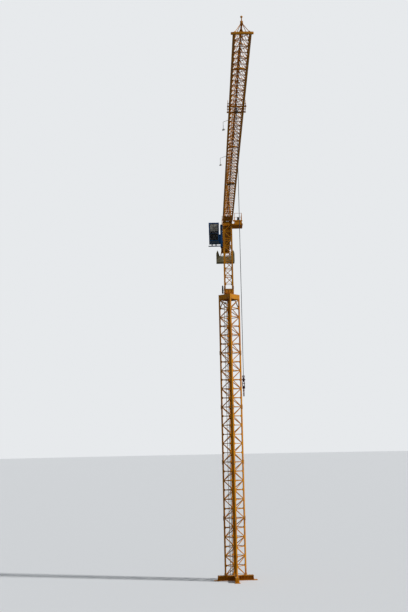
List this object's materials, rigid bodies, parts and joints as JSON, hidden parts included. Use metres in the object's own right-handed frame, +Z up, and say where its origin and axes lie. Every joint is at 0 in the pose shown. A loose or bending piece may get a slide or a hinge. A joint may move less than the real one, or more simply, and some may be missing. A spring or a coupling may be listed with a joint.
{
  "type": "tower crane, 1:2 scale model",
  "caption": "Hammerhead tower crane with a fixed lattice mast, slewing upper tower, cab, triangular lattice jib with trolley and hook block, counter-jib and ballast.",
  "frame": {"origin": "on the mast axis, at the centre of the base cross's underside, level with the foundation", "axes": "+Z up along the mast, -Y along the jib from the tower to its tip at rest, +X to the service platform's side"},
  "size_m": [2.1924, 30.1591, 20.4422],
  "materials": {
    "mast_orange": "weathered satin paint",
    "jib_yellow": "weathered satin paint",
    "cab_blue": "satin paint",
    "dark_steel": "matt dark paint",
    "galvanised": "dull zinc",
    "ballast_grey": "rough, cement grey",
    "hook_maroon": "worn paint",
    "glass": "clear",
    "seat_cloth": "moulded",
    "wire_rope": "greased wire"
  },
  "bodies": {
    "root": {"base_cross": "mast_orange", "mast_legs": "mast_orange", "mast_near_left_side": "mast_orange", "mast_near_right_side": "mast_orange", "mast_far_left_side": "mast_orange", "mast_far_right_side": "mast_orange", "mast_ladder": "galvanised", "mast_collar": "mast_orange", "slewing_ring_lower": "dark_steel"},
    "superstructure": {"turntable": "mast_orange", "slewing_motor": "dark_steel", "tower_legs": "mast_orange", "tower_front_side": "mast_orange", "tower_rear_side": "mast_orange", "tower_left_side": "mast_orange", "tower_right_side": "mast_orange", "tower_ladder": "galvanised", "tower_head": "jib_yellow", "apex_sheave": "dark_steel", "cab_shell": "cab_blue", "cab_glazing": "glass", "cab_seat": "seat_cloth", "cab_mount_frame": "cab_blue", "service_platform": "jib_yellow", "platform_railing": "jib_yellow", "platform_control_box": "dark_steel", "jib_bottom_chords": "jib_yellow", "jib_top_chord": "jib_yellow", "jib_left_side": "jib_yellow", "jib_right_side": "jib_yellow", "jib_bottom_bracing": "jib_yellow", "jib_cross_beams": "jib_yellow", "jib_end_frame": "jib_yellow", "jib_root_sheave": "dark_steel", "jib_tie_bars": "jib_yellow", "trolley_winch": "dark_steel", "floodlights": "galvanised", "hoist_rope_lead": "wire_rope", "counter_jib_frame": "jib_yellow", "counter_jib_walkway": "jib_yellow", "counter_jib_ties": "jib_yellow", "hoist_winch": "dark_steel", "ballast_hangers": "jib_yellow", "ballast_slabs": "ballast_grey"},
    "trolley": {"trolley_frame": "jib_yellow", "trolley_wheels": "dark_steel", "trolley_sheaves": "dark_steel", "hoist_ropes": "wire_rope"},
    "hook_block": {"hook_block": "hook_maroon"},
    "hook": {"hook": "hook_maroon"}
  },
  "joints": [
    {"name": "slew", "type": "hinge", "parent": "root", "child": "superstructure", "pos_m": [0, 0, 14.532], "axis": [0, 0, 1], "continuous": true},
    {"name": "trolley_travel", "type": "slide", "parent": "superstructure", "child": "trolley", "axis": [0, -1, 0], "range_m": [-15.4, 5.15]},
    {"name": "hoist", "type": "slide", "parent": "trolley", "child": "hook_block", "axis": [0, 0, 1], "range_m": [-8, 8.8], "deforming": ["hoist_ropes"]},
    {"name": "hook_swivel", "type": "hinge", "parent": "hook_block", "child": "hook", "pos_m": [0, -16.957, 8.6267], "axis": [0, 0, 1], "continuous": true}
  ]
}
